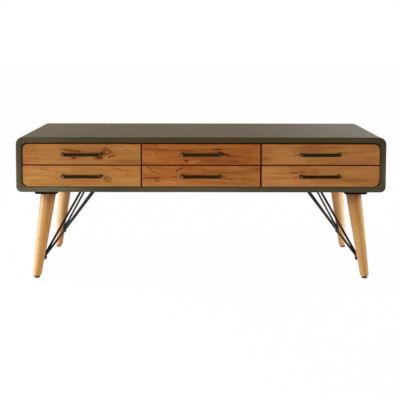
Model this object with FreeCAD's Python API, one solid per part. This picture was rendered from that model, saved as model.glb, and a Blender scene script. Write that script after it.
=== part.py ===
"""Storage coffee table: a rounded carcass with six inset drawers, on splayed legs with steel rod braces.

Millimetres, +Z up, X along the length, drawers open towards -Y. The origin is on the floor, under the
centre of the whole table with its handles.
"""

import FreeCAD, Part
import math
import os

from FreeCAD import Vector

# Overall sizes
table_width = 1200.0
table_depth = 600.0
table_height = 468.0
carcass_height = 179.0

# Carcass shell
panel_thickness = 18.0
outer_low_radius = 18.0
outer_top_radius = 23.0
inner_corner_radius = 17.0
shell_edge_radius = 1.2
spline_thickness = 4.0
spline_width = 16.0
spline_end_distance = 30.0
spline_clearance = 0.1

# Back panel, let into a rebate
back_thickness = 6.0
back_recess = 2.0
back_rebate_depth = 8.0
back_clearance = 0.4
back_screw_inset = 4.0
back_screws_across = 5

# Dividers between the columns of drawers, housed in the top and bottom panels
divider_thickness = 15.0
divider_housing_depth = 5.0
divider_setback = 1.5
housing_clearance = 0.1

# Drawer fronts and the gaps round them
front_thickness = 18.0
front_recess = 2.0
front_corner_radius = 18.5
front_edge_radius = 1.5
side_gap = 2.5
column_gap = 5.0
top_gap = 3.6
row_gap = 3.6
bottom_gap = 1.0

# Drawer boxes
box_length = 500.0
box_wall = 12.0
box_lift = 6.0
box_drop = 11.0
box_side_clearance = 3.5
box_housing_depth = 5.0
box_back_housing_depth = 4.0
box_back_setback = 10.0
box_back_drop = 6.0
bottom_thickness = 4.0
bottom_lift = 6.0
bottom_groove_depth = 4.5
bottom_clearance = 0.1

# Runners: hardwood battens in grooves in the drawer sides
runner_height = 11.0
runner_rise = 25.0
runner_groove_depth = 6.0
runner_tip_clearance = 0.6
runner_top_clearance = 0.3
runner_bottom_clearance = 0.7
runner_stop = 20.0
runner_stop_clearance = 0.5
runner_length = 470.0
runner_screw_inset = 60.0

# Handles: a round bar between two round posts
handle_centres = 123.0
outer_handle_shift = 2.0
handle_projection = 30.0
handle_post_radius = 5.4
handle_post_round = 4.0
handle_bar_radius = 5.4
handle_bar_standoff = 24.0
handle_screw_radius = 2.0
handle_screw_head_radius = 4.0
handle_screw_head_height = 2.4
handle_screw_engagement = 11.0

# Legs: turned and tapered, splayed both ways
leg_top_inset_x = 95.0
leg_top_inset_y = 66.0
leg_splay_x = 37.0
leg_splay_y = 33.5
leg_top_radius = 25.0
leg_foot_radius = 13.5
leg_bulge = 0.8
leg_foot_round = 3.0
leg_spare_length = 30.0

# Leg blocks, between the legs and the carcass
block_size = 76.0
block_outward_shift = 3.0
block_thickness = 11.5
block_corner_radius = 8.0
block_edge_radius = 6.0
block_screw_inset = 12.0

# Bolts that hold the legs, along each leg's axis
bolt_radius = 4.0
bolt_length_in_leg = 45.0
bolt_length_above_leg = 21.0
bolt_clearance = 0.15

# Glides under the feet
glide_radius = 9.3
glide_height = 7.0
glide_pin_radius = 1.5
glide_pin_length = 14.0
glide_pin_clearance = 0.1

# Braces: two rods welded to a tab on the leg and to a strip under the carcass
rod_radius = 3.8
rod_near_reach = 107.0
rod_far_reach = 154.0
back_rod_far_reach = 147.5
rod_top_inset = 66.0
rod_near_seat_height = 79.0
rod_far_seat_height = 76.5
rod_side_by_side_gap = 0.3
tab_thickness = 3.5
tab_width = 16.0
tab_low_height = 57.0
tab_high_height = 89.0
tab_clearance = 0.15
strip_thickness = 3.0
strip_width = 24.0
strip_end_length = 21.0
strip_corner_radius = 6.0
strip_screw_inset = 8.0

# Screws
screw_radius = 2.0
screw_head_radius = 3.8
screw_tip_length = 3.0
screw_clearance = 0.1
screw_bite = 12.0
runner_screw_bite = 6.0
tab_screw_head_radius = 4.5
tab_screw_head_height = 3.6
tab_screw_bite = 16.0
tab_screw_height = 64.5

# How far a cutting shape runs past what it cuts, and how close two places count as the same
overrun = 5.0
same_place = 0.001

# Places that follow from the sizes above
centre_y = (handle_projection - front_recess) / 2
front_y = centre_y - table_depth / 2
back_y = centre_y + table_depth / 2
half_width = table_width / 2
top_z = table_height
base_z = table_height - carcass_height
inner_x = half_width - panel_thickness
inner_base_z = base_z + panel_thickness
inner_top_z = top_z - panel_thickness
seam_x = inner_x - inner_corner_radius
rebate_y = back_y - back_recess - back_thickness

front_width = (2 * inner_x - 2 * side_gap - 2 * column_gap) / 3
front_height = (inner_top_z - inner_base_z - top_gap - row_gap - bottom_gap) / 2
column_pitch = front_width + column_gap
divider_x = column_pitch / 2
front_face_y = front_y + front_recess
front_rear_y = front_face_y + front_thickness
box_half_width = divider_x - divider_thickness / 2 - box_side_clearance
box_height = front_height - box_lift - box_drop
box_end_y = front_rear_y + box_length
runner_start_y = front_rear_y + runner_stop + runner_stop_clearance

leg_top_z = base_z - block_thickness
leg_top = Vector(half_width - leg_top_inset_x, table_depth / 2 - leg_top_inset_y, leg_top_z)
leg_foot = Vector(leg_top.x + leg_splay_x, leg_top.y + leg_splay_y, 0)
block_x = leg_top.x + block_outward_shift
rod_near_x = leg_top.x - rod_near_reach
rod_top_y = leg_top.y - rod_top_inset

ROWS = {"lower": inner_base_z + bottom_gap, "upper": inner_base_z + bottom_gap + front_height + row_gap}
COLUMNS = {"left": -1, "middle": 0, "right": 1}
QUARTERS = {
    "front_left": (-1, -1),
    "front_right": (1, -1),
    "back_left": (-1, 1),
    "back_right": (1, 1),
}


def box(x0, x1, y0, y1, z0, z1):
    """A box between two places on each axis, given in either order."""
    low = Vector(min(x0, x1), min(y0, y1), min(z0, z1))
    return Part.makeBox(abs(x1 - x0), abs(y1 - y0), abs(z1 - z0), low)


def rounded_prism(x0, x1, z0, z1, y0, y1, radii):
    """A prism along Y with corner radii in the order bottom left, bottom right, top right, top left."""
    corners = [Vector(x0, y0, z0), Vector(x1, y0, z0), Vector(x1, y0, z1), Vector(x0, y0, z1)]
    headings = [Vector(1, 0, 0), Vector(0, 0, 1), Vector(-1, 0, 0), Vector(0, 0, -1)]
    edges = []
    reached = []
    for i, (corner, radius) in enumerate(zip(corners, radii)):
        arrive = headings[i - 1]
        leave = headings[i]
        start = corner - arrive * radius
        end = corner + leave * radius
        if radius > same_place:
            middle = corner + (leave - arrive) * radius * (1 - math.sqrt(0.5))
            edges.append(Part.Arc(start, middle, end).toShape())
        reached.append((start, end))
    for i in range(len(corners)):
        edges.append(Part.LineSegment(reached[i][1], reached[(i + 1) % len(corners)][0]).toShape())
    face = Part.Face(Part.Wire(Part.__sortEdges__(edges)))
    return face.extrude(Vector(0, y1 - y0, 0))


def edges_at_y(shape, y):
    """The edges that lie in the plane at that Y."""
    return [e for e in shape.Edges if all(abs(v.Y - y) < same_place for v in e.Vertexes)]


def edges_at_z(shape, z):
    """The edges that lie in the plane at that Z."""
    return [e for e in shape.Edges if all(abs(v.Z - z) < same_place for v in e.Vertexes)]


def upright_edges(shape):
    """The straight edges along Z."""
    found = []
    for e in shape.Edges:
        run = e.Vertexes[-1].Point - e.Vertexes[0].Point
        if abs(run.z) > same_place and math.hypot(run.x, run.y) < same_place:
            found.append(e)
    return found


def turned(points):
    """A solid of revolution about Z from straight lines through (radius, height) points."""
    outline = [Vector(r, 0, z) for r, z in points]
    wire = Part.makePolygon(outline + outline[:1])
    return Part.Face(wire).revolve(Vector(0, 0, 0), Vector(0, 0, 1), 360)


def aimed(shape, place, direction):
    """The shape with its own +Z turned to a direction and its origin moved to a place."""
    made = shape.copy()
    made.Placement = FreeCAD.Placement(place, FreeCAD.Rotation(Vector(0, 0, 1), direction))
    return made


def rod(start, end, radius):
    """A round bar between two points."""
    axis = end - start
    return Part.makeCylinder(radius, axis.Length, start, axis)


def countersunk_screw(length, spare=0.0):
    """A wood screw along +Z with its flat head at the origin; spare makes the hole that it goes in."""
    shank = screw_radius + spare
    head = screw_head_radius + spare
    neck = head - shank
    return turned([(0, 0), (head, 0), (shank, neck), (shank, length - screw_tip_length), (0, length + spare)])


def pan_screw(radius, head_radius, head_height, length, spare=0.0):
    """A screw along +Z whose head stands behind the origin; spare makes the hole that it goes in."""
    shank = radius + spare
    head = head_radius + spare
    back = -head_height
    return turned([(0, back), (head, back), (head, 0), (shank, 0), (shank, length), (0, length)])


def in_quarter(shape, quarter):
    """A shape made in the back right quarter about X = 0 and Y = 0, mirrored and moved to its own quarter."""
    side, end = QUARTERS[quarter]
    made = shape
    if side < 0:
        made = made.mirror(Vector(0, 0, 0), Vector(1, 0, 0))
    if end < 0:
        made = made.mirror(Vector(0, 0, 0), Vector(0, 1, 0))
    made = made.copy()
    made.translate(Vector(0, centre_y, 0))
    return made


def without(shape, cuts):
    """The shape less every cut that comes near it."""
    made = shape
    for cut in cuts:
        if made.BoundBox.intersect(cut.BoundBox):
            made = made.cut(cut)
    return made


def save(name, solids):
    """One STEP file for a node, from one solid or a list of them."""
    shape = solids if hasattr(solids, "Solids") else Part.makeCompound(solids)
    shape.exportStep(os.path.join("parts", name + ".step"))


# Carcass: a rounded shell, dividers and a back


def back_screw_places():
    """Screw centres along the top and bottom edges of the back panel."""
    places = []
    for z in (inner_base_z - back_screw_inset, inner_top_z + back_screw_inset):
        for i in range(back_screws_across):
            x = -seam_x + 2 * seam_x * i / (back_screws_across - 1)
            places.append(Vector(x, rebate_y + back_thickness, z))
    return places


def back_screws(spare=0.0):
    """Countersunk screws driven forwards through the back panel."""
    screw = countersunk_screw(back_thickness + screw_bite, spare)
    return [aimed(screw, place, Vector(0, -1, 0)) for place in back_screw_places()]


def opening(growth, y0, y1):
    """The carcass opening as a prism, grown outwards all round."""
    radius = inner_corner_radius + growth
    return rounded_prism(
        -inner_x - growth,
        inner_x + growth,
        inner_base_z - growth,
        inner_top_z + growth,
        y0,
        y1,
        (radius,) * 4,
    )


def shell_ring():
    """The whole carcass shell before it is divided into its four panels."""
    radii = (outer_low_radius, outer_low_radius, outer_top_radius, outer_top_radius)
    ring = rounded_prism(-half_width, half_width, base_z, top_z, front_y, back_y, radii)
    ring = ring.cut(opening(0, front_y - overrun, back_y + overrun))
    ring = ring.makeFillet(shell_edge_radius, edges_at_y(ring, front_y) + edges_at_y(ring, back_y))
    return ring.cut(opening(back_rebate_depth, rebate_y, back_y + overrun))


def splines(spare=0.0):
    """Loose tongues across the four seams between the end panels and the top and bottom panels."""
    y0 = front_y + spline_end_distance - spare
    y1 = back_y - spline_end_distance + spare
    reach = spline_width / 2 + spare
    half = spline_thickness / 2 + spare
    made = []
    for x in (-seam_x, seam_x):
        for z in (base_z + panel_thickness / 2, top_z - panel_thickness / 2):
            made.append(box(x - reach, x + reach, y0, y1, z - half, z + half))
    return made


def divider(side, spare=0.0):
    """One upright between two columns of drawers, with its edges in the top and bottom housings."""
    half = divider_thickness / 2 + spare
    depth = divider_housing_depth + spare
    return box(
        side * divider_x - half,
        side * divider_x + half,
        front_rear_y + divider_setback - spare,
        rebate_y,
        inner_base_z - depth,
        inner_top_z + depth,
    )


def carcass_holes():
    """All that is cut from the shell: tongue grooves, divider housings, and screw and bolt holes."""
    cuts = splines(spline_clearance) + back_screws(screw_clearance) + runner_screws(screw_clearance)
    cuts += [divider(side, housing_clearance) for side in (-1, 1)]
    for quarter in QUARTERS:
        holes = block_screws(screw_clearance) + [leg_bolt(bolt_clearance)]
        holes += strip_screws(rod_far_x(quarter), screw_clearance)
        cuts += [in_quarter(hole, quarter) for hole in holes]
    return cuts


def make_carcass():
    """Top, bottom, round-cornered ends, their tongues, dividers, and the back with its screws."""
    ring = shell_ring()
    cuts = carcass_holes()
    y0 = front_y - overrun
    y1 = back_y + overrun
    middle_z = (base_z + top_z) / 2
    low_z = base_z - overrun
    high_z = top_z + overrun
    far_x = half_width + overrun
    regions = {
        "top_panel": box(-seam_x, seam_x, y0, y1, middle_z, high_z),
        "bottom_panel": box(-seam_x, seam_x, y0, y1, low_z, middle_z),
        "end_panel_left": box(-far_x, -seam_x, y0, y1, low_z, high_z),
        "end_panel_right": box(seam_x, far_x, y0, y1, low_z, high_z),
    }
    for name, region in regions.items():
        save(name, without(ring.common(region), cuts))
    save("panel_tongues", splines())

    holes = runner_screws(screw_clearance)
    save("divider_left", without(divider(-1), holes))
    save("divider_right", without(divider(1), holes))

    back = opening(back_rebate_depth - back_clearance, rebate_y, rebate_y + back_thickness)
    save("back_panel", without(back, back_screws(screw_clearance)))
    save("back_panel_screws", back_screws())


# Runners on the dividers and the end panels


def wall_places(columns):
    """Each runner's column centre, its side of the drawer, and the face of the wall that it is fixed to."""
    found = []
    for column in columns:
        centre = column * column_pitch
        for side in (-1, 1):
            if column == side:
                wall = side * inner_x
            else:
                wall = centre + side * (divider_x - divider_thickness / 2)
            found.append((centre, side, wall))
    return found


def runner_z(row_z):
    """The height of a runner's lower face."""
    return row_z + box_lift + runner_rise - runner_height / 2


def runner_face(centre, side):
    """The place across the table of the runner's face inside the drawer's groove."""
    return centre + side * (box_half_width - runner_groove_depth + runner_tip_clearance)


def runner_screws(spare=0.0):
    """Two countersunk screws through each runner into its wall."""
    made = []
    for centre, side, wall in wall_places(COLUMNS.values()):
        face = runner_face(centre, side)
        screw = countersunk_screw(abs(wall - face) + runner_screw_bite, spare)
        for row_z in ROWS.values():
            z = runner_z(row_z) + runner_height / 2
            for y in (
                runner_start_y + runner_screw_inset,
                runner_start_y + runner_length - runner_screw_inset,
            ):
                made.append(aimed(screw, Vector(face, y, z), Vector(side, 0, 0)))
    return made


def runner(centre, side, wall, row_z):
    """One batten, just behind the closed front end of the drawer's groove, with its screw holes."""
    low = runner_z(row_z)
    y1 = runner_start_y + runner_length
    batten = box(runner_face(centre, side), wall, runner_start_y, y1, low, low + runner_height)
    return without(batten, runner_screws(screw_clearance))


def make_runners():
    """Four battens in each bay, and the screws of them all."""
    for name, column in COLUMNS.items():
        places = wall_places((column,))
        save("runners_" + name, [runner(*place, row_z) for place in places for row_z in ROWS.values()])
    save("runner_screws", runner_screws())


# Drawers


def handle_screw_places(centre, middle_z):
    """The two screw axes of a handle, at the drawer front's rear face."""
    return [Vector(centre + side * handle_centres / 2, front_rear_y, middle_z) for side in (-1, 1)]


def handle_screws(centre, middle_z, spare=0.0):
    """Two machine screws from inside the drawer into the handle's posts."""
    length = front_thickness + handle_screw_engagement
    screw = pan_screw(
        handle_screw_radius, handle_screw_head_radius, handle_screw_head_height, length, spare
    )
    return [aimed(screw, place, Vector(0, -1, 0)) for place in handle_screw_places(centre, middle_z)]


def handle(centre, middle_z):
    """Two posts, each with a screw hole, and the bar that is coped to fit between them."""
    holes = handle_screws(centre, middle_z, screw_clearance)
    post = Part.makeCylinder(handle_post_radius, handle_projection)
    post = post.makeFillet(handle_post_round, edges_at_z(post, handle_projection))
    posts = []
    ends = []
    for side in (-1, 1):
        x = centre + side * handle_centres / 2
        posts.append(aimed(post, Vector(x, front_face_y, middle_z), Vector(0, -1, 0)))
        ends.append(Vector(x, front_face_y - handle_bar_standoff, middle_z))
    bar = without(rod(ends[0], ends[1], handle_bar_radius), posts)
    return [without(one, holes) for one in posts] + [bar]


def box_side(centre, side, row_z):
    """One drawer side, housed in the front, grooved inside for the bottom and outside for the runner."""
    outer = centre + side * box_half_width
    inner = outer - side * box_wall
    low = row_z + box_lift
    made = box(outer, inner, front_rear_y - box_housing_depth, box_end_y, low, low + box_height)
    groove = box(
        outer + side * overrun,
        outer - side * runner_groove_depth,
        front_rear_y + runner_stop,
        box_end_y + overrun,
        runner_z(row_z) - runner_bottom_clearance,
        runner_z(row_z) + runner_height + runner_top_clearance,
    )
    return made.cut(groove).cut(bottom_board(centre, row_z, bottom_clearance)).cut(box_back(centre, row_z))


def box_back(centre, row_z):
    """The drawer's back, standing on the bottom board with its ends housed in the sides."""
    reach = box_half_width - box_wall + box_back_housing_depth
    y1 = box_end_y - box_back_setback
    low = row_z + box_lift
    return box(
        centre - reach,
        centre + reach,
        y1 - box_wall,
        y1,
        low + bottom_lift + bottom_thickness,
        low + box_height - box_back_drop,
    )


def bottom_board(centre, row_z, spare=0.0):
    """The thin bottom board, in grooves on three sides and under the back."""
    reach = box_half_width - box_wall + bottom_groove_depth + spare
    low = row_z + box_lift + bottom_lift
    return box(
        centre - reach,
        centre + reach,
        front_rear_y - bottom_groove_depth - spare,
        box_end_y - box_back_setback,
        low - spare,
        low + bottom_thickness,
    )


def drawer_front(row, column, centre, row_z):
    """The inset wooden front, rounded where it meets a corner of the carcass, with an eased front edge."""
    lower = front_corner_radius if row == "lower" else 0
    upper = front_corner_radius if row == "upper" else 0
    left = column < 0
    right = column > 0
    radii = (lower * left, lower * right, upper * right, upper * left)
    x0 = centre - front_width / 2
    made = rounded_prism(
        x0, x0 + front_width, row_z, row_z + front_height, front_face_y, front_rear_y, radii
    )
    made = made.makeFillet(front_edge_radius, edges_at_y(made, front_face_y))
    made = made.cut(bottom_board(centre, row_z, bottom_clearance))
    low = row_z + box_lift
    for side in (-1, 1):
        outer = centre + side * box_half_width
        housing = box(
            outer,
            outer - side * box_wall,
            front_rear_y - box_housing_depth,
            front_rear_y + overrun,
            low,
            low + box_height,
        )
        made = made.cut(housing)
    handle_x = centre - column * outer_handle_shift
    return without(made, handle_screws(handle_x, row_z + front_height / 2, screw_clearance))


def make_drawers():
    """Six alike drawers but for their rounded corners."""
    for row, row_z in ROWS.items():
        for name, column in COLUMNS.items():
            node = "drawer_" + row + "_" + name
            centre = column * column_pitch
            handle_x = centre - column * outer_handle_shift
            middle_z = row_z + front_height / 2
            save(node + "_front", drawer_front(row, column, centre, row_z))
            sides = [box_side(centre, side, row_z) for side in (-1, 1)]
            save(node + "_box", sides + [box_back(centre, row_z)])
            save(node + "_bottom", bottom_board(centre, row_z))
            save(node + "_handle", handle(handle_x, middle_z))
            save(node + "_handle_screws", handle_screws(handle_x, middle_z))


# Legs, made in the back right quarter


def leg_axis():
    """The unit vector from the foot up to the top of the leg."""
    axis = leg_top - leg_foot
    return axis / axis.Length


def leg_point(z):
    """The point on the leg's axis at a height."""
    return leg_foot + (leg_top - leg_foot) * (z / leg_top_z)


def leg_side():
    """The slightly convex side of the leg, in radius and distance from the foot."""
    length = (leg_top - leg_foot).Length
    middle = (leg_top_radius + leg_foot_radius) / 2 + leg_bulge
    curve = Part.BSplineCurve()
    curve.interpolate(
        [Vector(leg_foot_radius, 0, 0), Vector(middle, 0, length / 2), Vector(leg_top_radius, 0, length)]
    )
    return curve


def leg_radius(z):
    """The leg's radius at a height along its axis, measured on its side."""
    along = (leg_point(z) - leg_foot).Length
    reach = leg_top_radius + leg_spare_length
    line = Part.LineSegment(Vector(0, 0, along), Vector(reach, 0, along)).toShape()
    return leg_side().toShape().distToShape(line)[1][0][0].x


def leg():
    """One leg, cut level at both ends, with its foot rounded over and its holes made."""
    side = leg_side()
    foot = side.StartPoint
    top = side.EndPoint
    spare = Vector(0, 0, leg_spare_length)
    lowest = Vector(0, 0, 0) - spare
    highest = Vector(0, 0, top.z) + spare
    edges = [
        Part.LineSegment(lowest, foot - spare).toShape(),
        Part.LineSegment(foot - spare, foot).toShape(),
        side.toShape(),
        Part.LineSegment(top, top + spare).toShape(),
        Part.LineSegment(top + spare, highest).toShape(),
        Part.LineSegment(highest, lowest).toShape(),
    ]
    blank = Part.Face(Part.Wire(edges)).revolve(Vector(0, 0, 0), Vector(0, 0, 1), 360)
    blank = aimed(blank, leg_foot, leg_axis())
    reach = leg_top_radius + leg_spare_length
    slab = box(
        leg_top.x - reach,
        leg_foot.x + reach,
        leg_top.y - reach,
        leg_foot.y + reach,
        glide_height,
        leg_top_z,
    )
    made = blank.common(slab)
    made = made.makeFillet(leg_foot_round, edges_at_z(made, glide_height))
    made = made.cut(leg_bolt(bolt_clearance)).cut(glide(glide_pin_clearance))
    return made.cut(tab_screw(screw_clearance))


def leg_bolt(spare=0.0):
    """The bolt along the leg's axis, up through the block into the bottom panel."""
    low = leg_top - leg_axis() * (bolt_length_in_leg + spare)
    high = leg_top + leg_axis() * (bolt_length_above_leg + spare)
    return rod(low, high, bolt_radius + spare)


def glide(spare=0.0):
    """A round glide with a pin up into the foot."""
    place = leg_point(glide_height)
    return aimed(
        turned(
            [
                (0, 0),
                (glide_radius, 0),
                (glide_radius, glide_height),
                (glide_pin_radius + spare, glide_height),
                (glide_pin_radius + spare, glide_height + glide_pin_length + spare),
                (0, glide_height + glide_pin_length + spare),
            ]
        ),
        Vector(place.x, place.y, 0),
        Vector(0, 0, 1),
    )


def block_screws(spare=0.0):
    """Four countersunk screws up through the leg block."""
    screw = countersunk_screw(block_thickness + screw_bite, spare)
    reach = block_size / 2 - block_screw_inset
    made = []
    for along in (-1, 1):
        for across in (-1, 1):
            place = Vector(block_x + along * reach, leg_top.y + across * reach, leg_top_z)
            made.append(aimed(screw, place, Vector(0, 0, 1)))
    return made


def leg_block():
    """The block that the leg stands against, rounded in plan and along its lower edge."""
    half = block_size / 2
    made = box(block_x - half, block_x + half, leg_top.y - half, leg_top.y + half, leg_top_z, base_z)
    made = made.makeFillet(block_corner_radius, upright_edges(made))
    made = made.makeFillet(block_edge_radius, edges_at_z(made, leg_top_z))
    return without(made, block_screws(screw_clearance) + [leg_bolt(bolt_clearance)])


# Braces, made in the back right quarter


def rod_far_x(quarter):
    """The place of the far rod's top: the braces at the back are a little narrower."""
    side, end = QUARTERS[quarter]
    reach = rod_far_reach if end < 0 else back_rod_far_reach
    return leg_top.x - reach


def tab_frame():
    """Three axes of the brace tab, across, out of the leg and along it, and the middle of its inner face."""
    axis = leg_axis()
    towards = Vector(-(rod_near_reach + rod_far_reach) / 2, -rod_top_inset, 0)
    out = towards - axis * towards.dot(axis)
    out.normalize()
    low = leg_point(tab_low_height) + out * leg_radius(tab_low_height)
    high = leg_point(tab_high_height) + out * leg_radius(tab_high_height)
    along = high - low
    along.normalize()
    out = out - along * out.dot(along)
    out.normalize()
    across = out.cross(along)
    return across, out, along, (low + high) / 2 + out * tab_clearance


def on_tab(height):
    """The point on the line down the middle of the tab's inner face at a height."""
    across, out, along, middle = tab_frame()
    return middle + along * ((height - middle.z) / along.z)


def tab_screw(spare=0.0):
    """The screw through the tab into the leg."""
    across, out, along, middle = tab_frame()
    screw = pan_screw(
        screw_radius, tab_screw_head_radius, tab_screw_head_height, tab_thickness + tab_screw_bite, spare
    )
    return aimed(screw, on_tab(tab_screw_height) + out * tab_thickness, out * -1)


def tab():
    """The flat tab against the leg, with a round lower end."""
    across, out, along, middle = tab_frame()
    half = tab_width / 2
    low = on_tab(tab_low_height)
    high = on_tab(tab_high_height)
    turn = low + along * half
    edges = [
        Part.LineSegment(high - across * half, turn - across * half).toShape(),
        Part.Arc(turn - across * half, low, turn + across * half).toShape(),
        Part.LineSegment(turn + across * half, high + across * half).toShape(),
        Part.LineSegment(high + across * half, high - across * half).toShape(),
    ]
    made = Part.Face(Part.Wire(edges)).extrude(out * tab_thickness)
    return made.cut(tab_screw(screw_clearance))


def brace_rod(top_x, seat_height, side):
    """One rod, from its slanting seat on the tab up to the strip, where it is cut level."""
    across, out, along, middle = tab_frame()
    face = on_tab(seat_height) + out * tab_thickness
    seat = face + across * side * (rod_radius + rod_side_by_side_gap / 2)
    top = Vector(top_x, rod_top_y, base_z - strip_thickness)
    direction = top - seat
    direction.normalize()
    spare = direction * leg_spare_length
    made = rod(seat - spare, top + spare, rod_radius)
    reach = table_width
    above = box(top_x - reach, top_x + reach, rod_top_y - reach, rod_top_y + reach, top.z, top.z + reach)
    wedge = Part.makeBox(reach, reach, reach, Vector(-reach / 2, -reach / 2, 0))
    behind = aimed(wedge, face, out * -1)
    return made.cut(above).cut(behind)


def brace(far_x):
    """The tab, the near rod and the far rod side by side on it, and the strip."""
    near = brace_rod(rod_near_x, rod_near_seat_height, -1)
    far = brace_rod(far_x, rod_far_seat_height, 1)
    return [tab(), near, far, strip(far_x)]


def strip_screws(far_x, spare=0.0):
    """Two countersunk screws up through the strip."""
    screw = countersunk_screw(strip_thickness + screw_bite, spare)
    made = []
    for x in (
        rod_near_x + strip_end_length - strip_screw_inset,
        far_x - strip_end_length + strip_screw_inset,
    ):
        made.append(aimed(screw, Vector(x, rod_top_y, base_z - strip_thickness), Vector(0, 0, 1)))
    return made


def strip(far_x):
    """The flat strip under the carcass that both rods are welded to."""
    half = strip_width / 2
    made = box(
        far_x - strip_end_length,
        rod_near_x + strip_end_length,
        rod_top_y - half,
        rod_top_y + half,
        base_z - strip_thickness,
        base_z,
    )
    made = made.makeFillet(strip_corner_radius, upright_edges(made))
    return without(made, strip_screws(far_x, screw_clearance))


def make_supports():
    """Legs, blocks and braces in their four quarters, and the groups of small pieces that go with them."""
    for quarter in QUARTERS:
        save("leg_" + quarter, in_quarter(leg(), quarter))
        save("leg_block_" + quarter, in_quarter(leg_block(), quarter))
        save("brace_" + quarter, [in_quarter(piece, quarter) for piece in brace(rod_far_x(quarter))])
    groups = {"leg_bolts": [], "foot_glides": [], "leg_block_screws": [], "brace_screws": []}
    for quarter in QUARTERS:
        made = {
            "leg_bolts": [leg_bolt()],
            "foot_glides": [glide()],
            "leg_block_screws": block_screws(),
            "brace_screws": strip_screws(rod_far_x(quarter)) + [tab_screw()],
        }
        for name, solids in made.items():
            groups[name] += [in_quarter(solid, quarter) for solid in solids]
    for name, solids in groups.items():
        save(name, solids)


os.makedirs("parts", exist_ok=True)
make_carcass()
make_runners()
make_drawers()
make_supports()
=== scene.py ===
import math
from dataclasses import dataclass

import bpy
from mathutils import Matrix, Vector


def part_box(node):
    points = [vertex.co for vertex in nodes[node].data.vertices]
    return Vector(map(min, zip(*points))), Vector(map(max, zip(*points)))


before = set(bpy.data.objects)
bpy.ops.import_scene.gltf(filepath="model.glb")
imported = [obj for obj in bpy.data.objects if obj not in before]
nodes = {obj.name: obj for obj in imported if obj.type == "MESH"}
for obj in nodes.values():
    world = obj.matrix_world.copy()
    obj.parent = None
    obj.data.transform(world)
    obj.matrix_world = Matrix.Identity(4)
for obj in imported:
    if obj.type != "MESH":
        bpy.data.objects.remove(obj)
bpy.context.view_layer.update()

# Places on the table that the materials follow, in metres, from the frame
shell_low, shell_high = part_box("end_panel_left")
half_length = -shell_low[0]
half_depth = (shell_high[1] - shell_low[1]) / 2
middle_y = (shell_low[1] + shell_high[1]) / 2
shell_base = shell_low[2]
shell_top = shell_high[2]
bottom_panel_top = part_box("bottom_panel")[1][2]
panel_thickness = bottom_panel_top - shell_base
inner_half_length = half_length - panel_thickness
rail_rim = bottom_panel_top - 0.0018
front_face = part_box("drawer_upper_left_front")[0][1]
divider_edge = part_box("divider_left")[0][1]
leg_top_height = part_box("leg_front_left")[1][2]

# Legs and braces, in metres, as the CAD has them
leg_inset = (0.095, 0.066)
leg_splay = (0.037, 0.0335)
leg_top_radius = 0.025
leg_foot_radius = 0.0135
strip_thickness = 0.003
rods_middle_at_top = 0.376
rods_lean_share = 0.636

# How far in front of a drawer front's face the heart of its tree lay, in metres
heart_depth = 0.136


# Numbers over a surface

class Field:
    """A number at each point of a surface, with the arithmetic on such numbers."""

    def __init__(self, graph, socket):
        self.graph = graph
        self.socket = socket

    def __add__(self, other):
        return self.graph.math("ADD", self, other)

    def __sub__(self, other):
        return self.graph.math("SUBTRACT", self, other)

    def __rsub__(self, other):
        return self.graph.math("SUBTRACT", other, self)

    def __mul__(self, other):
        return self.graph.math("MULTIPLY", self, other)

    def __truediv__(self, other):
        return self.graph.math("DIVIDE", self, other)


def linear(colour):
    """A display colour given as 0 to 255 values, as the renderer wants it."""
    parts = [c / 255 for c in colour]
    return tuple(c / 12.92 if c <= 0.04045 else ((c + 0.055) / 1.055) ** 2.4 for c in parts)


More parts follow.
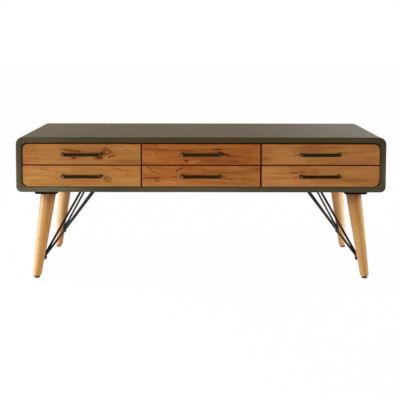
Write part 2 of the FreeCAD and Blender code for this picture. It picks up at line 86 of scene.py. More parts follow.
class Graph:
    """A node tree under construction."""

    seed_steps = (1.0, 0.37, -0.71)

    def __init__(self, tree):
        tree.nodes.clear()
        self.tree = tree

    def add(self, kind, values=None, **settings):
        node = self.tree.nodes.new(kind)
        for name, value in settings.items():
            setattr(node, name, value)
        for place, value in (values or {}).items():
            self.put(node.inputs[place], value)
        return node

    def put(self, socket, value):
        if isinstance(value, Field):
            value = value.socket
        if isinstance(value, bpy.types.NodeSocket):
            self.tree.links.new(value, socket)
        else:
            socket.default_value = value

    def math(self, operation, *values):
        node = self.add("ShaderNodeMath", dict(enumerate(values)), operation=operation)
        return Field(self, node.outputs[0])

    def place(self):
        """The three coordinates on the piece itself, in metres, which ride with it."""
        where = self.add("ShaderNodeTexCoord").outputs["Object"]
        split = self.add("ShaderNodeSeparateXYZ", {0: where})
        return [Field(self, socket) for socket in split.outputs]

    def noise(self, place, waves, seed=0.0, detail=3.0, roughness=0.5):
        """Soft noise from 0 to 1, with so many waves a metre along each of the three coordinates."""
        scaled = [c * w + seed * step for c, w, step in zip(place, waves, self.seed_steps)]
        where = self.add("ShaderNodeCombineXYZ", dict(enumerate(scaled))).outputs[0]
        values = {"Vector": where, "Scale": 1.0, "Detail": detail, "Roughness": roughness}
        return Field(self, self.add("ShaderNodeTexNoise", values).outputs["Fac"])

    def smooth(self, value, low, high):
        """0 below low, 1 above high, and a soft step between them."""
        values = {"Value": value, "From Min": low, "From Max": high}
        node = self.add("ShaderNodeMapRange", values, interpolation_type="SMOOTHSTEP")
        return Field(self, node.outputs[0])

    def bell(self, *distances):
        """1 where every distance is 0, and falling off to nothing past 2."""
        total = sum((d * d for d in distances[1:]), distances[0] * distances[0])
        return self.math("EXPONENT", total * -1.0)

    def ramp(self, factor, *stops):
        """A colour picked along a row of (place, colour) stops."""
        node = self.add("ShaderNodeValToRGB", {0: factor})
        row = node.color_ramp.elements
        while len(row) < len(stops):
            row.new(0.5)
        for element, (place, colour) in zip(row, stops):
            element.position = place
            element.color = (*linear(colour), 1.0)
        return node.outputs[0]

    def mix(self, share, first, second):
        """The first colour with this share of the second one over it."""
        node = self.add("ShaderNodeMix", {0: share}, data_type="RGBA")
        for place, colour in ((6, first), (7, second)):
            if isinstance(colour, tuple):
                colour = (*linear(colour), 1.0)
            self.put(node.inputs[place], colour)
        return node.outputs[2]

    def bump(self, height, distance, strength):
        values = {"Height": height, "Distance": distance, "Strength": strength}
        return self.add("ShaderNodeBump", values).outputs[0]


def material(name, paint, constants=None):
    """A material whose paint(graph) gives the sockets that vary; constants stay on the shader."""
    made = bpy.data.materials.new(name)
    made.use_nodes = True
    graph = Graph(made.node_tree)
    shader = graph.add("ShaderNodeBsdfPrincipled", constants)
    for socket, value in paint(graph).items():
        graph.put(shader.inputs[socket], value)
    graph.add("ShaderNodeOutputMaterial", {0: shader.outputs[0]})
    return made


def dress(names, made):
    """Gives a material to the named CAD nodes."""
    for name in names:
        node = nodes[name]
        if not node.material_slots:
            node.data.materials.append(made)
        for slot in node.material_slots:
            slot.link = "OBJECT"
            slot.material = made


# Paint, steel and plastic

def satin_paint(graph):
    """Brown-grey paint, with painted light on it: paler low down as a painted reflection of the floor,
    paler at both ends as painted sheen, and a brown painted shadow on the rim under the drawers.
    """
    x, y, z = place = graph.place()
    cloud = graph.noise(place, (5.0, 5.0, 9.0), seed=3.1, detail=4.0)
    hue = graph.noise(place, (11.0, 9.0, 16.0), seed=8.4, detail=2.0)
    base = graph.ramp(cloud, (0.3, (64, 54, 33)), (0.7, (72, 61, 39)))
    base = graph.mix(graph.smooth(hue, 0.4, 0.65) * 0.5, base, (62, 59, 37))
    pale = graph.ramp(cloud, (0.3, (76, 68, 50)), (0.7, (88, 80, 61)))
    # Painted reflection of the floor low down, and painted sheen towards both ends.
    low = 1.0 - graph.smooth(z, shell_base + 0.011, shell_top - panel_thickness)
    left = 1.0 - graph.smooth(x, -half_length - 0.02, -0.25)
    right = graph.smooth(x, 0.2, half_length)
    share = graph.math("MINIMUM", low * 0.85 + left * 0.5 + right * 0.3, 1.1)
    base = graph.mix(share, base, pale)
    base = bottom_rail(graph, x, z, base)
    base = stiles(graph, x, z, base)
    # A brown painted shadow along the rim under the drawers.
    rim = graph.bell((z - rail_rim) / 0.0009) * (1.0 - graph.smooth(y, front_face, front_face + 0.004))
    base = graph.mix(rim * 0.6, base, (84, 44, 16))
    peel = graph.noise(place, (900.0, 900.0, 900.0), detail=2.0)
    rough = graph.noise(place, (60.0, 60.0, 60.0), seed=5.0, detail=3.0)
    polish = graph.smooth(x, 0.05, half_length) * 0.15
    return {"Base Color": base, "Roughness": rough * 0.14 + 0.42 - polish,
            "Normal": graph.bump(peel, 0.00005, 0.35)}


def bottom_rail(graph, x, z, base):
    """The bottom panel's front edge, with a painted highlight and then a stretch of painted shade towards
    its left end.
    """
    rail = 1.0 - graph.smooth(z, rail_rim, rail_rim + 0.002)
    # Painted highlight, then painted shade, towards the left end.
    base = graph.mix(graph.bell((x + 0.5) / 0.09) * rail * 0.32, base, (112, 106, 90))
    return graph.mix(graph.bell((x + 0.3) / 0.11) * rail * 0.6, base, (58, 54, 36))


def stiles(graph, x, z, base):
    """The end panels' front edges: brown painted shade beside the drawers, and a grey painted highlight at
    their outer corners.
    """
    side = graph.math("ABSOLUTE", x)
    inner = (1.0 - graph.smooth(side, inner_half_length, inner_half_length + 0.006)) * graph.smooth(
        side, inner_half_length - 0.007, inner_half_length - 0.001)
    above = graph.smooth(z, bottom_panel_top - 0.001, bottom_panel_top + 0.013)
    # Brown painted shade beside the drawers, then a grey painted highlight at the outer corners.
    base = graph.mix(inner * above * 0.45, base, (58, 42, 22))
    return graph.mix(graph.smooth(side, half_length - 0.008, half_length - 0.001) * 0.3, base, (96, 96, 86))


def painted_steel(graph, dark, light):
    """Baked black paint on steel, between two tones."""
    place = graph.place()
    grain = graph.noise(place, (1400.0, 1400.0, 1400.0), detail=2.0)
    cloud = graph.noise(place, (30.0, 30.0, 30.0), seed=2.0)
    return {"Base Color": graph.ramp(cloud, (0.3, dark), (0.7, light)),
            "Roughness": cloud * 0.16 + 0.3,
            "Normal": graph.bump(grain, 0.00006, 0.5)}


def brace_steel(graph):
    """Black paint, with painted highlights: greyer on each brace's far rod and on the near rods at the
    back.
    """
    x, y, z = graph.place()
    steel = painted_steel(graph, (27, 23, 18), (37, 33, 27))
    between = (shell_base - strip_thickness - z) * rods_lean_share + rods_middle_at_top
    far = 1.0 - graph.smooth(graph.math("ABSOLUTE", x) - between, -0.006, 0.0)
    near = (1.0 - far) * graph.smooth(y, 0.0, 0.1) * (graph.smooth(x, -0.1, 0.1) * 0.35 + 0.28)
    # Painted highlights on the far rods and on the near rods at the back.
    grey = (far * 0.28 + near) * graph.smooth(z, 0.09, 0.13)
    steel["Base Color"] = graph.mix(grey, steel["Base Color"], (98, 94, 88))
    return steel


def handle_steel(name):
    """Black paint on a handle, with painted highlights on the rounded ends of its posts, the left one most.
    """
    low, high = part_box(name)
    middle = (low[2] + high[2]) / 2
    post_radius = (high[2] - low[2]) / 2
    left_post = low[0] + post_radius + (0.0016 if "left" in name else 0.0003)
    left_share = 0.35 if "right" in name else 0.7
    right_post, right_share = high[0] - post_radius, 0.2

    def paint(graph):
        x, y, z = graph.place()
        steel = painted_steel(graph, (33, 21, 7), (44, 29, 10))
        front = 1.0 - graph.smooth(y, low[1] + 0.0015, low[1] + 0.0045)
        for post, share in ((left_post, left_share), (right_post, right_share)):
            # A painted highlight on the end of each post.
            highlight_spot = graph.bell((x - post) / 0.0021, (z - middle) / 0.0034) * front
            steel["Base Color"] = graph.mix(highlight_spot * share, steel["Base Color"], (186, 168, 140))
        return steel
    return paint


def black_block(graph):
    grain = graph.noise(graph.place(), (40.0, 600.0, 600.0))
    return {"Base Color": graph.ramp(grain, (0.3, (19, 12, 4)), (0.7, (27, 18, 6))),
            "Roughness": grain * 0.25 + 0.45,
            "Normal": graph.bump(grain, 0.0001, 0.4)}


def zinc(graph):
    cloud = graph.noise(graph.place(), (300.0, 300.0, 300.0), seed=4.0)
    return {"Base Color": graph.ramp(cloud, (0.3, (150, 148, 140)), (0.7, (182, 180, 174))),
            "Roughness": cloud * 0.25 + 0.25}


def matt_plastic(graph):
    """Brown plastic feet, with painted light on the back ones: a little redder and paler at the back, and
    palest at the back left.
    """
    x, y, z = place = graph.place()
    grain = graph.noise(place, (1500.0, 1500.0, 1500.0))
    base = graph.ramp(grain, (0.3, (58, 32, 20)), (0.7, (70, 40, 26)))
    back = graph.smooth(y, -0.1, 0.1)
    left = 1.0 - graph.smooth(x, -0.1, 0.1)
    base = graph.mix(back * 0.6, base, (128, 72, 46))
    return {"Base Color": graph.mix(back * left * 0.6, base, (176, 122, 86)),
            "Roughness": grain * 0.15 + 0.5,
            "Normal": graph.bump(grain, 0.00008, 0.5)}


# Wood inside the table

def plain_wood(light, dark, along, seed):
    """Planed wood with its grain along one axis of the table, 0 for X and 1 for Y."""
    ring = 0.004

    def paint(graph):
        axes = graph.place()
        run = axes.pop(along)
        a, b = axes
        place = (run, a, b)
        wander = graph.noise(place, (2.0, 6.0, 6.0), seed) * 0.03
        rings = graph.math("SINE", (a + b * 0.35 + wander) * (2 * math.pi / ring))
        fibre = graph.noise(place, (25.0, 900.0, 900.0), seed)
        cloud = graph.noise(place, (3.0, 20.0, 20.0), seed + 2.0)
        tone = rings * 0.13 + fibre * 0.5 + cloud * 0.5
        return {"Base Color": graph.ramp(tone, (0.25, dark), (0.75, light)),
                "Roughness": fibre * 0.2 + 0.5,
                "Normal": graph.bump(fibre, 0.0001, 0.4)}
    return paint


def stained_board_shaded_edge(graph):
    """A board stained brown, with painted shade on its front edge, darker and redder there, for the gaps
    between the drawers.
    """
    place = graph.place()
    fibre = graph.noise(place, (700.0, 25.0, 700.0), seed=2.0)
    cloud = graph.noise(place, (20.0, 3.0, 20.0), seed=4.0)
    base = graph.ramp(fibre * 0.6 + cloud * 0.4, (0.3, (74, 54, 38)), (0.7, (98, 74, 52)))
    # Painted shade on the front edge, seen in the gaps between the drawers.
    edge = 1.0 - graph.smooth(place[1], divider_edge + 0.0005, divider_edge + 0.0045)
    return {"Base Color": graph.mix(edge, base, (78, 18, 0)),
            "Roughness": fibre * 0.2 + 0.6,
            "Normal": graph.bump(fibre, 0.0001, 0.4)}


# Drawer fronts

@dataclass
class Board:
    """The wood of one drawer front. Lengths are metres, and places are from the middle of the front.

    ring is the width of a growth ring, heart and apex the place of the tree's heart above the board and
    along it, and tilt how fast that heart draws away along the board. lean darkens the board upwards and
    grain is the contrast of its fibres. colours run from light to dark, and blush and honey lie in patches
    over them. behind is the colour of the edges behind the face, painted shade for the gaps round the
    front.
    Then come the strengths of a painted highlight on the lower edge and on the ends, and of painted shade
    along the top, and the widths of the dark left and right rims of painted shade.
    knots are (x, z, half width, half height), and streaks (x, z, angle, half length, half width, strength,
    colour).
    """

    seed: float
    ring: float
    heart: float
    apex: float
    tilt: float
    lean: float
    grain: float
    colours: tuple
    blush: tuple
    honey: tuple
    behind: tuple
    wear: tuple
    top_shade: float
    left_shade_rim: float
    right_shade_rim: float
    knots: list
    streaks: list


def front_wood(name, board):
    """A drawer front: flat-sawn fir with its grain along X, and this board's own knots and streaks."""
    low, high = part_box(name)
    middle_x, middle_z = (low[0] + high[0]) / 2, (low[2] + high[2]) / 2
    half_x, half_z = (high[0] - low[0]) / 2, (high[2] - low[2]) / 2

    def paint(graph):
        x, y, z = graph.place()
        x, z = x - middle_x, z - middle_z
        across = grain_height(graph, board, x, y, z)
        late = late_wood(graph, board, x, y, across)
        fibre = graph.noise((x, y, across), (26.0, 500.0, 430.0), board.seed + 5.0, 4.0, 0.6)
        base = board_colour(graph, board, (x, y, z), across, late, fibre)
        base = streaked(graph, board, (x, y, z), base)
        # Painted shade along the edges at the gaps round the front.
        base = graph.mix(painted_gap_shade(graph, board, x, z, half_x, half_z), base, (150, 54, 8))
        # A painted highlight along the eased lower edge and the ends.
        base = graph.mix(painted_edge_highlight(graph, board, (x, y, z), half_x, half_z), base, (222, 178, 118))
        # A dark rim of painted shade along the left edge.
        left = 1.0 - graph.smooth(x + half_x - board.left_shade_rim, -0.0007, 0.0007)
        base = graph.mix(left * 0.85, base, (100, 36, 4))
        # Painted shade on the edges and back behind the face, for the gaps round the front.
        base = graph.mix(graph.smooth(y, front_face + 0.0018, front_face + 0.0035), base, board.behind)
        return {"Base Color": base, "Roughness": late * -0.08 + fibre * 0.15 + 0.5,
                "Normal": graph.bump(late * 0.5 + fibre, 0.00012, 0.5)}
    return paint


def grain_height(graph, board, x, y, z):
    """The height at which a fibre would lie in straight wood: it wanders, and it bends round the knots."""
    wobble = graph.noise((x, y, z), (6.0, 20.0, 26.0), board.seed)
    across = z + (wobble - 0.5) * 0.005
    for knot_x, knot_z, width, height in board.knots:
        near = graph.bell((x - knot_x) / (width * 3.4), (z - knot_z) / (height * 2.6))
        across = across + (z - knot_z) * near * -0.55
    return across


def late_wood(graph, board, x, y, across):
    """1 in the dark late part of each growth ring round the tree's heart."""
    depth = (x - board.apex) * board.tilt + y - front_face + heart_depth
    side = across + board.heart
    radius = graph.math("SQRT", side * side + depth * depth)
    drift = graph.noise((x, y, radius), (2.5, 8.0, 60.0), board.seed + 3.0, detail=2.0)
    phase = graph.math("FRACT", radius / board.ring + drift * 1.6)
    return graph.smooth(phase, 0.25, 0.88) * (1.0 - graph.smooth(phase, 0.9, 1.0))


def board_colour(graph, board, place, across, late, fibre):
    """The board's own tones, before its knots and streaks."""
    x, y, z = place
    band = graph.noise((x, y, across), (4.0, 12.0, 70.0), board.seed + 9.0, 4.0, 0.6)
    cloud = graph.noise(place, (9.0, 12.0, 42.0), board.seed + 17.0)
    tone = graph.smooth(band, 0.3, 0.72) * 0.5 + ((fibre - 0.5) * 0.42 + late * 0.12) * board.grain
    tone = tone + (cloud - 0.5) * 0.9 + z * board.lean
    light, middle, dark = board.colours
    base = graph.ramp(tone, (0.0, light), (0.5, middle), (1.0, dark))
    blush = graph.noise(place, (8.0, 12.0, 30.0), board.seed + 13.0)
    base = graph.mix(graph.smooth(blush, 0.45, 0.72) * 0.7, base, board.blush)
    honey = graph.noise(place, (7.0, 12.0, 26.0), board.seed + 23.0)
    return graph.mix(graph.smooth(honey, 0.48, 0.7) * 0.5, base, board.honey)


def streaked(graph, board, place, base):
    """The board's streaks, and its knots over them, with ragged outlines."""
    x, y, z = place
    x = x + (graph.noise(place, (90.0, 1.0, 90.0), board.seed) - 0.5) * 0.006
    z = z + (graph.noise(place, (80.0, 1.0, 130.0), board.seed + 1.0) - 0.5) * 0.004
    for streak_x, streak_z, angle, length, width, strength, colour in board.streaks:
        turn, lean = math.cos(math.radians(angle)), math.sin(math.radians(angle))
        a = ((x - streak_x) * turn + (z - streak_z) * lean) / length
        b = ((z - streak_z) * turn - (x - streak_x) * lean) / width
        base = graph.mix(graph.bell(a * a, b) * strength, base, colour)
    for knot_x, knot_z, width, height in board.knots:
        a = (x - knot_x) / width
        b = (z - knot_z) / height
        out = graph.math("SQRT", a * a + b * b)
        broken = graph.noise(place, (160.0, 1.0, 160.0), board.seed + 6.0, detail=2.0)
        base = graph.mix(graph.bell(out / 0.95) * 0.8, base, (122, 56, 18))
        base = graph.mix(graph.bell((out - 0.62) / 0.2) * broken, base, (84, 30, 4))
        base = graph.mix(graph.bell((out - 1.2) / 0.16) * broken * 0.6, base, (104, 46, 10))
        base = graph.mix(graph.bell(out / 0.19) * 0.9, base, (222, 160, 110))
    return base


def painted_gap_shade(graph, board, x, z, half_x, half_z):
    """Painted shade along a front's top, bottom and right edges, at the gaps round it."""
    rim_z = half_z - 0.0012
    shade = graph.smooth(z, rim_z - 0.0008, rim_z) * board.top_shade
    bottom = 1.0 - graph.smooth(z, 0.0005 - rim_z, 0.0013 - rim_z)
    shade = graph.math("MAXIMUM", shade, bottom * (1.0 - board.wear[0]))
    if board.right_shade_rim:
        right = graph.smooth(x - half_x + board.right_shade_rim, -0.0005, 0.0005)
        shade = graph.math("MAXIMUM", shade, right)
    return shade * 0.9


def painted_edge_highlight(graph, board, place, half_x, half_z):
    """A painted highlight along the eased edges of a drawer front, most at its lower edge and its ends."""
    x, y, z = place
    low_highlight, end_highlight = board.wear
    broken = graph.noise(place, (50.0, 50.0, 90.0), board.seed + 20.0) * 0.0016
    low = 1.0 - graph.smooth(z + broken, 0.0014 - half_z, 0.0030 - half_z)
    ends = graph.smooth(graph.math("ABSOLUTE", x) - broken, half_x - 0.0026, half_x - 0.0012)
    return graph.math("MAXIMUM", low * low_highlight, ends * end_highlight)


brown, russet, cream, umber = (112, 46, 6), (150, 68, 20), (196, 134, 86), (80, 28, 2)
boards = {
    "drawer_upper_left_front": Board(
        seed=1.7, lean=2.5, wear=(0.25, 0.7), ring=0.0075, apex=0.02, tilt=0.05, heart=0.09,
        colours=((162, 112, 60), (147, 97, 48), (113, 64, 28)),
        blush=(145, 83, 43), honey=(168, 114, 46), grain=1.0,
        behind=(112, 46, 14), top_shade=0.8, left_shade_rim=0.0018, right_shade_rim=0.0,
        knots=[(0.084, 0.0070, 0.0115, 0.0095)],
        streaks=[(-0.0343, 0.0125, -8, 0.0333, 0.0038, 0.95, brown),
                 (-0.0068, 0.0089, 0, 0.0063, 0.0025, 0.78, brown),
                 (-0.0240, -0.0125, 0, 0.0084, 0.0038, 1.00, umber),
                 (-0.0489, -0.0164, 0, 0.0192, 0.0030, 0.45, russet),
                 (0.0567, -0.0125, 0, 0.0154, 0.0047, 1.00, umber),
                 (0.0716, 0.0096, 88, 0.0105, 0.0051, 0.67, brown),
                 (0.0781, 0.0197, 0, 0.0031, 0.0030, 0.84, brown),
                 (0.0994, -0.0060, 22, 0.0147, 0.0030, 0.90, brown),
                 (0.0978, 0.0063, 0, 0.0098, 0.0025, 0.62, brown),
                 (0.1487, 0.0135, -20, 0.0112, 0.0021, 0.56, brown),
                 (0.1733, 0.0057, -10, 0.0053, 0.0034, 0.45, russet),
                 (0.0871, 0.0223, 0, 0.0245, 0.0021, 0.45, russet),
                 (-0.1461, -0.0119, 30, 0.0063, 0.0021, 0.67, brown),
                 (-0.1672, -0.0106, -8, 0.0175, 0.0014, 0.39, brown)]),
    "drawer_lower_left_front": Board(
        seed=4.3, lean=4.0, wear=(0.9, 0.7), ring=0.008, apex=-0.05, tilt=-0.04, heart=-0.08,
        colours=((175, 124, 65), (158, 107, 53), (123, 71, 31)),
        blush=(158, 94, 47), honey=(178, 124, 54), grain=1.1,
        behind=(126, 50, 12), top_shade=0.3, left_shade_rim=0.0012, right_shade_rim=0.0,
        knots=[(0.0852, -0.0109, 0.0105, 0.0075)],
        streaks=[(-0.0813, -0.0085, 0, 0.0045, 0.0021, 0.78, brown),
                 (-0.0803, 0.0107, -25, 0.0084, 0.0034, 0.56, russet),
                 (-0.1186, 0.0205, -10, 0.0175, 0.0017, 0.56, brown),
                 (0.0781, -0.0065, 10, 0.0056, 0.0030, 0.67, umber),
                 (0.1293, 0.0202, -13, 0.0315, 0.0017, 0.62, brown),
                 (0.1506, 0.0039, 0, 0.0056, 0.0034, 0.67, brown),
                 (-0.0003, -0.0150, 0, 0.0559, 0.0038, 0.50, russet),
                 (-0.1493, -0.0159, 6, 0.0210, 0.0021, 0.45, brown)]),
    "drawer_upper_middle_front": Board(
        seed=7.9, lean=0.5, wear=(0.2, 0.35), ring=0.008, apex=0.06, tilt=0.04, heart=0.07,
        colours=((163, 99, 43), (141, 79, 31), (98, 44, 16)),
        blush=(141, 72, 38), honey=(160, 92, 30), grain=1.8,
        behind=(92, 26, 0), top_shade=1.0, left_shade_rim=0.0010, right_shade_rim=0.0,
        knots=[],
        streaks=[(-0.1497, 0.0270, 0, 0.0035, 0.0034, 0.95, brown),
                 (-0.1367, 0.0159, 0, 0.0063, 0.0020, 0.78, brown),
                 (-0.1442, 0.0052, 0, 0.0035, 0.0034, 0.95, brown),
                 (-0.1652, 0.0163, 0, 0.0175, 0.0020, 0.39, brown),
                 (-0.1263, -0.0098, 0, 0.0084, 0.0025, 0.62, russet),
                 (-0.0875, -0.0107, 0, 0.0140, 0.0025, 0.62, russet),
                 (-0.1134, -0.0231, 0, 0.0105, 0.0025, 0.56, russet),
                 (-0.0454, 0.0120, 0, 0.0140, 0.0025, 0.56, brown),
                 (-0.0479, -0.0205, -10, 0.0053, 0.0034, 1.00, umber),
                 (-0.0415, -0.0251, -35, 0.0063, 0.0021, 0.67, umber),
                 (-0.0227, -0.0241, 15, 0.0192, 0.0021, 0.56, cream),
                 (0.0512, 0.0159, 1, 0.0167, 0.0023, 1.00, umber),
                 (0.0858, 0.0176, 2, 0.0245, 0.0021, 0.62, brown),
                 (0.0648, 0.0052, -15, 0.0077, 0.0038, 0.90, umber),
                 (0.0784, -0.0013, -14, 0.0189, 0.0034, 1.00, umber),
                 (0.1134, -0.0068, 0, 0.0245, 0.0014, 0.56, umber),
                 (0.1105, -0.0231, 0, 0.0049, 0.0025, 1.00, umber),
                 (0.1101, -0.0238, 0, 0.0175, 0.0017, 0.56, brown),
                 (0.0292, -0.0199, 0, 0.0315, 0.0025, 0.67, brown),
                 (0.0356, -0.0264, 0, 0.0420, 0.0021, 0.56, brown),
                 (0.1684, -0.0130, 0, 0.0175, 0.0025, 0.50, russet)]),
    "drawer_lower_middle_front": Board(
        seed=12.6, lean=4.5, wear=(0.7, 0.35), ring=0.0085, apex=-0.10, tilt=-0.05, heart=-0.06,
        colours=((174, 112, 55), (154, 93, 43), (119, 62, 25)),
        blush=(160, 83, 44), honey=(172, 106, 44), grain=1.8,
        behind=(136, 50, 6), top_shade=0.4, left_shade_rim=0.0010, right_shade_rim=0.0,
        knots=[(-0.1435, -0.0126, 0.0075, 0.0052)],
        streaks=[(-0.1704, 0.0278, -55, 0.0063, 0.0025, 0.67, brown),
                 (-0.1594, 0.0171, -38, 0.0084, 0.0021, 0.90, brown),
                 (-0.1419, 0.0096, -20, 0.0133, 0.0020, 0.67, brown),
                 (-0.0790, 0.0184, 10, 0.0042, 0.0025, 1.00, umber),
                 (-0.0661, 0.0236, 22, 0.0133, 0.0025, 0.90, brown),
                 (-0.0389, 0.0226, 0, 0.0245, 0.0064, 0.45, russet),
                 (-0.1568, -0.0057, 1, 0.0333, 0.0034, 1.00, brown),
                 (-0.1134, -0.0063, 2, 0.0210, 0.0038, 0.50, russet),
                 (-0.0842, -0.0021, 3, 0.0119, 0.0025, 0.73, brown),
                 (-0.0858, -0.0145, 0, 0.0091, 0.0021, 0.50, russet),
                 (-0.1561, -0.0177, 0, 0.0035, 0.0021, 0.67, cream),
                 (-0.1412, -0.0242, 0, 0.0056, 0.0021, 0.56, cream),
                 (-0.0920, -0.0210, 0, 0.0105, 0.0017, 0.45, cream),
                 (0.0891, -0.0099, -6, 0.0175, 0.0021, 0.73, brown),
                 (0.0842, 0.0116, 0, 0.0049, 0.0017, 0.56, brown),
                 (0.0097, 0.0213, 0, 0.0140, 0.0059, 0.56, russet),
                 (0.1620, 0.0018, 0, 0.0140, 0.0017, 0.45, cream)]),
    "drawer_upper_right_front": Board(
        seed=17.2, lean=1.0, wear=(0.2, 0.6), ring=0.0075, apex=0.25, tilt=0.02, heart=0.12,
        colours=((178, 121, 65), (158, 101, 50), (122, 68, 29)),
        blush=(160, 95, 55), honey=(166, 108, 48), grain=1.2,
        behind=(116, 50, 12), top_shade=0.9, left_shade_rim=0.0021, right_shade_rim=0.0019,
        knots=[],
        streaks=[(-0.0768, -0.0026, 0, 0.0105, 0.0020, 0.90, brown),
                 (-0.0807, 0.0088, 0, 0.0119, 0.0021, 0.45, brown),
                 (-0.0288, 0.0264, 0, 0.0315, 0.0030, 0.45, russet),
                 (-0.1746, -0.0127, 0, 0.0175, 0.0075, 0.39, russet),
                 (-0.0369, -0.0218, 0, 0.0077, 0.0051, 0.39, russet),
                 (0.1007, 0.0068, 0, 0.0559, 0.0021, 0.45, brown),
                 (-0.1325, 0.0117, 0, 0.0280, 0.0084, 0.28, cream)]),
    "drawer_lower_right_front": Board(
        seed=21.4, lean=0.0, wear=(0.9, 0.6), ring=0.0075, apex=-0.25, tilt=-0.02, heart=-0.14,
        colours=((185, 126, 69), (167, 109, 56), (129, 72, 33)),
        blush=(167, 95, 50), honey=(176, 116, 48), grain=1.3,
        behind=(156, 70, 16), top_shade=0.1, left_shade_rim=0.0021, right_shade_rim=0.0019,
        knots=[],
        streaks=[(-0.0852, 0.0114, 2, 0.0154, 0.0023, 1.00, brown),
                 (-0.0547, 0.0120, 0, 0.0091, 0.0030, 0.67, brown),
                 (-0.0224, 0.0111, 0, 0.0175, 0.0025, 0.56, russet),
                 (-0.0159, 0.0215, 0, 0.0154, 0.0017, 0.56, russet),
                 (-0.0758, -0.0049, 0, 0.0119, 0.0047, 0.56, russet),
                 (-0.1325, 0.0085, 0, 0.0175, 0.0017, 0.45, brown),
                 (-0.1454, -0.0075, 0, 0.0384, 0.0034, 0.39, russet),
                 (0.1007, -0.0127, 0, 0.0490, 0.0021, 0.45, brown)]),
}


# Legs

@dataclass
class Stock:
    """The wood of one leg.

    tones are (share of the way down, colour) stops, darker high up as painted shade under the table. pale
    and far are painted highlights on the leg's two edges as (side, colour high up, colour low down, start,
    full), with side and places from -1 at the left to 1 at the right. The colours differ from leg to leg
    with the light that falls on each, as lit and shaded copies of one wood.
    """

    seed: float
    tones: list
    pale: tuple
    far: tuple


def leg_wood(top, foot, stock):
    """A turned leg: the grain runs down its own axis, and its colour holds painted light: painted
    highlights on its two edges and painted shade high up under the block.
    """
    line = Vector(foot) - Vector(top)
    length = line.length
    axis = line.normalized()
    side = axis.cross(Vector((0.0, 1.0, 0.0))).normalized()
    deep = axis.cross(side)
    rings_per_metre = 190.0

    def paint(graph):
        x, y, z = graph.place()
        x, y, z = x - top[0], y - top[1], z - top[2]
        place = [x * v.x + y * v.y + z * v.z for v in (axis, side, deep)]
        run, a, b = place
        wander = graph.noise(place, (3.0, 8.0, 8.0), stock.seed, detail=2.0)
        rings = graph.math("FRACT", (a * 0.8 + b * 0.5 + wander * 0.035) * rings_per_metre)
        late = graph.smooth(rings, 0.2, 0.9) * (1.0 - graph.smooth(rings, 0.92, 1.0))
        fibre = graph.noise(place, (20.0, 1100.0, 1100.0), stock.seed)
        cloud = graph.noise(place, (4.0, 40.0, 40.0), stock.seed + 4.0)
        tone = late * 0.28 + fibre * 0.35 + cloud * 0.5
        down = run / length
        # Darker high up: painted shade under the table.
        base = graph.ramp(down, *stock.tones)
        across = a / (leg_top_radius - down * (leg_top_radius - leg_foot_radius))
        # Painted highlights on the leg's two edges.
        for lean, high, low, start, full in (stock.pale, stock.far):
            edge = graph.smooth(across * lean + (cloud - 0.5) * 0.3, start, full)
            base = graph.mix(edge, base, graph.ramp(down, (0.25, high), (0.85, low)))
        base = graph.mix(graph.smooth(tone, 0.35, 0.85) * 0.34, base, (150, 90, 38))
        # Painted shade just under the leg block.
        base = graph.mix((1.0 - graph.smooth(run, 0.0, 0.042)) * 0.7, base, (104, 54, 12))
        return {"Base Color": base, "Roughness": fibre * 0.2 + 0.3,
                "Normal": graph.bump(fibre + late * 0.4, 0.00008, 0.4)}
    return paint


# Each leg's colours, with painted highlights and painted shade for the light on that leg.
stocks = {
    "front_left": Stock(
        seed=1.0,
        tones=[(0.0, (136, 84, 30)), (0.045, (146, 92, 36)), (0.14, (162, 108, 42)),
               (0.27, (170, 118, 52)), (0.62, (178, 128, 60)), (1.0, (178, 130, 68))],
        pale=(-1, (158, 132, 92), (190, 154, 106), -0.2, 0.68),
        far=(1, (196, 138, 76), (198, 144, 84), 0.4, 0.9)),
    "front_right": Stock(
        seed=6.0,
        tones=[(0.0, (146, 94, 36)), (0.045, (154, 100, 38)), (0.14, (172, 113, 50)),
               (0.27, (178, 125, 60)), (0.55, (190, 142, 76)), (1.0, (186, 138, 76))],
        pale=(1, (182, 144, 82), (184, 146, 88), 0.0, 0.9),
        far=(-1, (176, 130, 78), (184, 146, 104), 0.4, 0.9)),
    "back_left": Stock(
        seed=11.0,
        tones=[(0.0, (158, 106, 54)), (0.3, (206, 150, 82)), (1.0, (214, 160, 96))],
        pale=(-1, (190, 162, 122), (206, 178, 140), -0.5, 0.5),
        far=(1, (186, 128, 68), (190, 132, 76), 0.1, 0.6)),
    "back_right": Stock(
        seed=16.0,
        tones=[(0.0, (160, 106, 54)), (0.3, (220, 158, 84)), (1.0, (226, 168, 98))],
        pale=(1, (242, 208, 160), (248, 222, 184), -0.3, 0.55),
        far=(-1, (188, 136, 70), (196, 146, 84), 0.3, 0.9)),
}


# Dressing the pieces

def named(start="", end=""):
    """The names of the CAD nodes with this start and this end."""
    return [name for name in nodes if name.startswith(start) and name.endswith(end)]


def dress_carcass():
    paint = material("satin_paint", satin_paint, {
        "Specular IOR Level": 0.006, "Sheen Weight": 0.045, "Sheen Roughness": 0.4,
        "Sheen Tint": (1.0, 0.82, 0.62, 1.0)})
    dress(["top_panel", "bottom_panel", "end_panel_left", "end_panel_right", "back_panel"], paint)
    board = material("stained_board_shaded_edge", stained_board_shaded_edge, {"Specular IOR Level": 0.0})
    dress(["divider_left", "divider_right", "panel_tongues"], board)
    hardwood = material("runner_wood", plain_wood((205, 168, 118), (178, 136, 88), 1, 6.0))
    dress(named(start="runners_"), hardwood)


def dress_metal():
    screws = [name for name in named(end="screws") if name != "brace_screws"]
    dress(screws + ["leg_bolts"], material("zinc", zinc, {"Metallic": 1.0}))
    dress(named(start="brace_"), material("brace_steel", brace_steel, {"Specular IOR Level": 0.06}))
    for name in named(end="_handle"):
        dress([name], material(name + "_steel", handle_steel(name), {"Specular IOR Level": 0.03}))


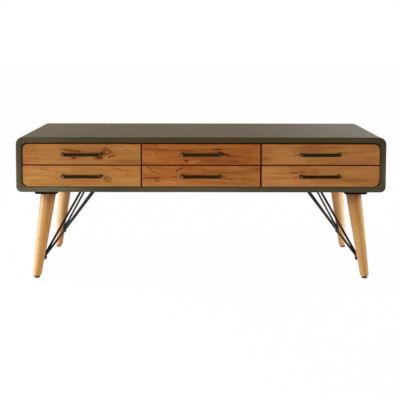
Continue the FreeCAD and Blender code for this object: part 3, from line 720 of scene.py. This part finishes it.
def dress_drawers():
    softwood = material("drawer_softwood", plain_wood((214, 178, 126), (190, 148, 98), 1, 11.0))
    dress(named(end="_box"), softwood)
    plywood = material("drawer_plywood", plain_wood((214, 184, 140), (196, 162, 116), 0, 15.0))
    dress(named("drawer_", "_bottom"), plywood)
    for name, board in boards.items():
        dress([name], material(name + "_wood", front_wood(name, board), {"Specular IOR Level": 0.04}))


def dress_legs():
    blocks = [name for name in named(start="leg_block_") if name != "leg_block_screws"]
    dress(blocks, material("black_block", black_block, {"Specular IOR Level": 0.0}))
    dress(["foot_glides"], material("matt_plastic", matt_plastic, {"Specular IOR Level": 0.2}))
    for name, stock in stocks.items():
        side, end = (-1 if "left" in name else 1), (-1 if "front" in name else 1)
        x = half_length - leg_inset[0]
        y = half_depth - leg_inset[1]
        top = (side * x, middle_y + end * y, leg_top_height)
        foot = (side * (x + leg_splay[0]), middle_y + end * (y + leg_splay[1]), 0.0)
        wood = leg_wood(top, foot, stock)
        dress(["leg_" + name], material("leg_wood_" + name, wood, {"Specular IOR Level": 0.25}))


# Room, lights and camera

floor_reach = 30.0
white = (1.0, 1.0, 1.0, 1.0)

# Each lamp: name, place, the point it looks at, watts, width, height
lamps = [
    ("left", (-3.4, -0.6, 1.0), (0.0, 0.0, 0.35), 163.0, 1.2, 1.4),
    ("right", (3.4, 0.0, 1.0), (0.2, 0.0, 0.3), 72.0, 1.2, 1.4),
    ("right_front", (3.2, -2.6, 1.4), (0.0, 0.0, 0.35), 15.0, 1.2, 1.6),
    ("front_low", (0.0, -4.4, 0.7), (0.0, 0.0, 0.3), 24.0, 1.6, 0.8),
    ("front_near", (-0.7, -1.6, 0.35), (-0.5, 0.0, 0.25), 7.5, 0.9, 0.4),
    ("window", (2.4, 4.4, 1.5), (0.5, 0.0, 0.45), 85.0, 1.6, 1.2),
    ("overhead", (0.0, 0.2, 3.0), (0.0, 0.1, 0.45), 12.0, 2.4, 1.6),
    ("left_back", (-3.0, 2.0, 1.3), (-0.2, 0.0, 0.3), 12.0, 1.2, 1.4),
    ("right_back", (3.0, 2.0, 1.3), (0.2, 0.0, 0.3), 12.0, 1.2, 1.4),
]

# The camera that fits the photo: metres, degrees, and the lens and its sensor in millimetres
camera_place = (-0.0034, -3.6692, 0.7693)
camera_pitch = 5.449
camera_roll = 0.085
camera_lens = 94.568
camera_sensor = 36.0
camera_shift = -0.14
camera_reach = 200.0


def make_floor():
    mesh = bpy.data.meshes.new("floor")
    corners = [(x * floor_reach, y * floor_reach, 0) for x, y in ((-1, -1), (1, -1), (1, 1), (-1, 1))]
    mesh.from_pydata(corners, [], [(0, 1, 2, 3)])
    floor = bpy.data.objects.new("floor", mesh)
    bpy.context.scene.collection.objects.link(floor)
    made = bpy.data.materials.new("floor")
    made.use_nodes = True
    graph = Graph(made.node_tree)
    grain = graph.noise(graph.place(), (3.0, 3.0, 1.0), detail=2.0)
    grey = graph.ramp(grain, (0.0, (226, 226, 226)), (1.0, (230, 230, 230)))
    shaded = graph.add("ShaderNodeBsdfDiffuse", {0: grey})
    glow = graph.add("ShaderNodeEmission", {0: white, 1: 1.0})
    values = {0: seen_share(graph) * 0.98, 1: shaded.outputs[0], 2: glow.outputs[0]}
    both = graph.add("ShaderNodeMixShader", values)
    graph.add("ShaderNodeOutputMaterial", {0: both.outputs[0]})
    mesh.materials.append(made)


def seen_share(graph):
    """1 for what the camera sees, straight or in gloss or glass, and 0 for the light on the object."""
    rays = graph.add("ShaderNodeLightPath").outputs
    seen = graph.math("MAXIMUM", rays["Is Camera Ray"], rays["Is Glossy Ray"])
    return graph.math("MAXIMUM", seen, rays["Is Transmission Ray"])


def make_world():
    """White for what is seen, straight or in a reflection, and soft light from above for the rest."""
    world = bpy.data.worlds.new("studio")
    bpy.context.scene.world = world
    world.use_nodes = True
    graph = Graph(world.node_tree)
    where = graph.add("ShaderNodeTexCoord").outputs["Generated"]
    height = Field(graph, graph.add("ShaderNodeSeparateXYZ", {0: where}).outputs[2])
    seen = seen_share(graph)
    soft = graph.smooth(height, -0.2, 0.9) * 0.08 + 0.12
    light = graph.add("ShaderNodeBackground", {0: white, 1: seen + (1.0 - seen) * soft})
    graph.add("ShaderNodeOutputWorld", {0: light.outputs[0]})


def make_lamp(name, place, target, power, width, height):
    data = bpy.data.lights.new(name, "AREA")
    data.shape = "RECTANGLE"
    data.size = width
    data.size_y = height
    data.energy = power
    lamp = bpy.data.objects.new(name, data)
    lamp.location = place
    lamp.rotation_euler = (Vector(target) - Vector(place)).to_track_quat("-Z", "Y").to_euler()
    lamp.visible_camera = False
    bpy.context.scene.collection.objects.link(lamp)


def make_camera():
    data = bpy.data.cameras.new("camera")
    data.sensor_width = camera_sensor
    data.lens = camera_lens
    data.shift_y = camera_shift
    data.clip_end = camera_reach
    camera = bpy.data.objects.new("camera", data)
    camera.location = camera_place
    pitch = Matrix.Rotation(math.radians(90.0 - camera_pitch), 4, "X")
    roll = Matrix.Rotation(math.radians(camera_roll), 4, "Z")
    camera.rotation_euler = (pitch @ roll).to_euler()
    bpy.context.scene.collection.objects.link(camera)
    bpy.context.scene.camera = camera


dress_carcass()
dress_metal()
dress_drawers()
dress_legs()
make_floor()
make_world()
for lamp in lamps:
    make_lamp(*lamp)
make_camera()
bpy.context.scene.view_settings.view_transform = "Standard"
